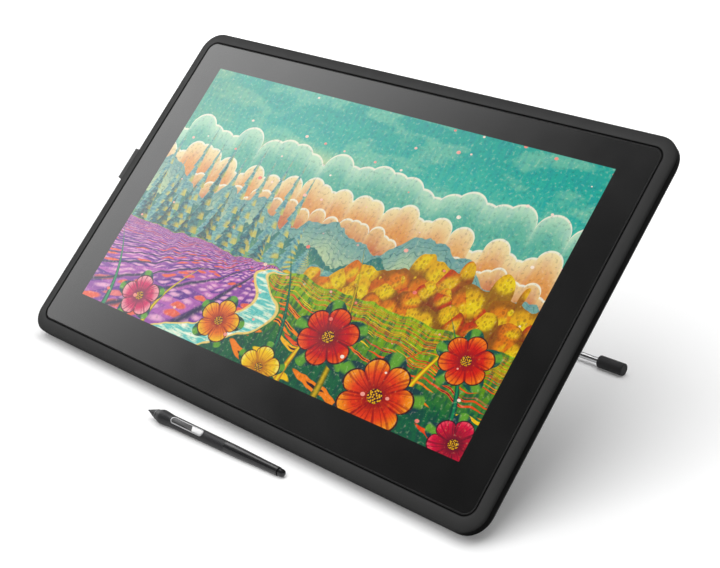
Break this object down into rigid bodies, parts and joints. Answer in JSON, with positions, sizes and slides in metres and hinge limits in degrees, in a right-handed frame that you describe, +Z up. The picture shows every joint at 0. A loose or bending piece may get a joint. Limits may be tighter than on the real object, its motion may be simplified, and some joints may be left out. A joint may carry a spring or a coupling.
{
  "type": "pen display",
  "caption": "Flat screen for drawing on with a pen, in a dark casing with a domed back, on a folding T-shaped stand, with its pen lying in front.",
  "frame": {"origin": "on the table, under the middle of the bounding box of screen, stand and pen", "axes": "+X to the user's right along the screen's width, +Y away from the user, +Z up; the screen leans back and faces -Y and up"},
  "size_m": [0.5814, 0.37, 0.2647],
  "materials": {
    "black_plastic": "fine moulded texture",
    "rim_plastic": "fine spark-eroded texture",
    "etched_glass": "etched, anti-glare",
    "black_film": "printed film",
    "foam": "closed-cell foam",
    "panel_glass": "lit picture",
    "white_sheet": "diffusing sheet",
    "clear_plastic": "clear acrylic",
    "white_resin": "moulded",
    "sheet_steel": "zinc-coated",
    "aluminium": "plain",
    "green_board": "solder mask",
    "flat_cable": "polyimide",
    "bright_steel": "bright zinc",
    "dark_steel": "black zinc",
    "spring_steel": "oiled",
    "stand_metal": "fine textured paint",
    "rubber": "matte",
    "woven_elastic": "woven",
    "nylon": "natural",
    "bronze": "sintered",
    "copper": "wound wire",
    "grip_rubber": "soft matte",
    "pen_gloss": "polished",
    "pen_matte": "satin",
    "pen_grey": "satin",
    "switch_grey": "satin"
  },
  "bodies": {
    "tablet": {"front_bezel": "rim_plastic", "cover_glass": "etched_glass", "border_film": "black_film", "panel_gasket": "foam", "lcd_panel": "panel_glass", "diffuser_sheet": "white_sheet", "light_guide": "clear_plastic", "reflector_sheet": "white_sheet", "led_strip": "white_resin", "panel_tray": "sheet_steel", "sensor_board": "green_board", "shield_plate": "sheet_steel", "chassis": "aluminium", "panel_board": "green_board", "panel_cable": "flat_cable", "main_board": "green_board", "hdmi_socket": "bright_steel", "usb_socket": "bright_steel", "power_socket": "black_plastic", "board_screws": "bright_steel", "rear_cover": "black_plastic", "cover_screws": "dark_steel", "foot_bars": "rubber", "pen_loop": "woven_elastic", "loop_bar": "spring_steel", "switch_board": "green_board", "tact_switch": "black_plastic", "light_pipe": "clear_plastic", "stand_bracket": "stand_metal", "bracket_screws": "bright_steel", "hinge_shaft": "bright_steel", "shaft_clips": "spring_steel", "thrust_washers": "nylon", "lever_pin": "bright_steel", "lever_spring": "spring_steel"},
    "power_button": {"power_button": "black_plastic"},
    "release_lever": {"release_lever": "black_plastic"},
    "stand": {"stand_arm": "stand_metal", "arm_bushes": "bronze", "clutch_springs": "spring_steel", "foot_rod": "bright_steel", "sleeve_left": "rubber", "sleeve_right": "rubber", "rod_screws": "dark_steel"},
    "pen": {"pen_nose": "pen_matte", "pen_collar": "pen_grey", "pen_grip": "grip_rubber", "pen_barrel": "pen_gloss", "pen_core": "white_resin", "pen_board": "green_board", "pen_coil": "copper", "pen_sensor": "pen_grey", "switch_trim": "bright_steel"},
    "pen_nib": {"pen_nib": "pen_grey"},
    "pen_rocker": {"pen_rocker": "switch_grey"},
    "pen_eraser": {"pen_eraser": "pen_gloss"}
  },
  "joints": [
    {"name": "stand_hinge", "type": "hinge", "parent": "tablet", "child": "stand", "pos_m": [0.0057, 0.0162, 0.09927], "axis": [-1, 0, 0], "range_deg": [-56.3, 69.1]},
    {"name": "lever_pivot", "type": "hinge", "parent": "tablet", "child": "release_lever", "pos_m": [0.0057, 0.02823, 0.12119], "axis": [-1, 0, 0], "range_deg": [0, 14], "stiffness_Nm_per_rad": 0.5, "springref_deg": -5.73},
    {"name": "power_press", "type": "slide", "parent": "tablet", "child": "power_button", "axis": [0, -0.7071, -0.7071], "range_m": [0, 0.0006], "stiffness_N_per_m": 2500},
    {"name": "pen_lift", "type": "slide", "parent": "tablet", "child": "pen", "axis": [0, 0, 1], "range_m": [0, 0.15]},
    {"name": "nib_press", "type": "slide", "parent": "pen", "child": "pen_nib", "axis": [0.9984, 0.0541, -0.0186], "range_m": [0, 0.0005], "stiffness_N_per_m": 1500},
    {"name": "rocker_tilt", "type": "hinge", "parent": "pen", "child": "pen_rocker", "pos_m": [-0.00291, -0.1788, 0.00902], "axis": [-0.0344, 0.8284, 0.5591], "range_deg": [-1.6, 1.6], "stiffness_Nm_per_rad": 0.5},
    {"name": "eraser_press", "type": "slide", "parent": "pen", "child": "pen_eraser", "axis": [-0.9984, -0.0541, 0.0186], "range_m": [0, 0.0008], "stiffness_N_per_m": 1500}
  ]
}
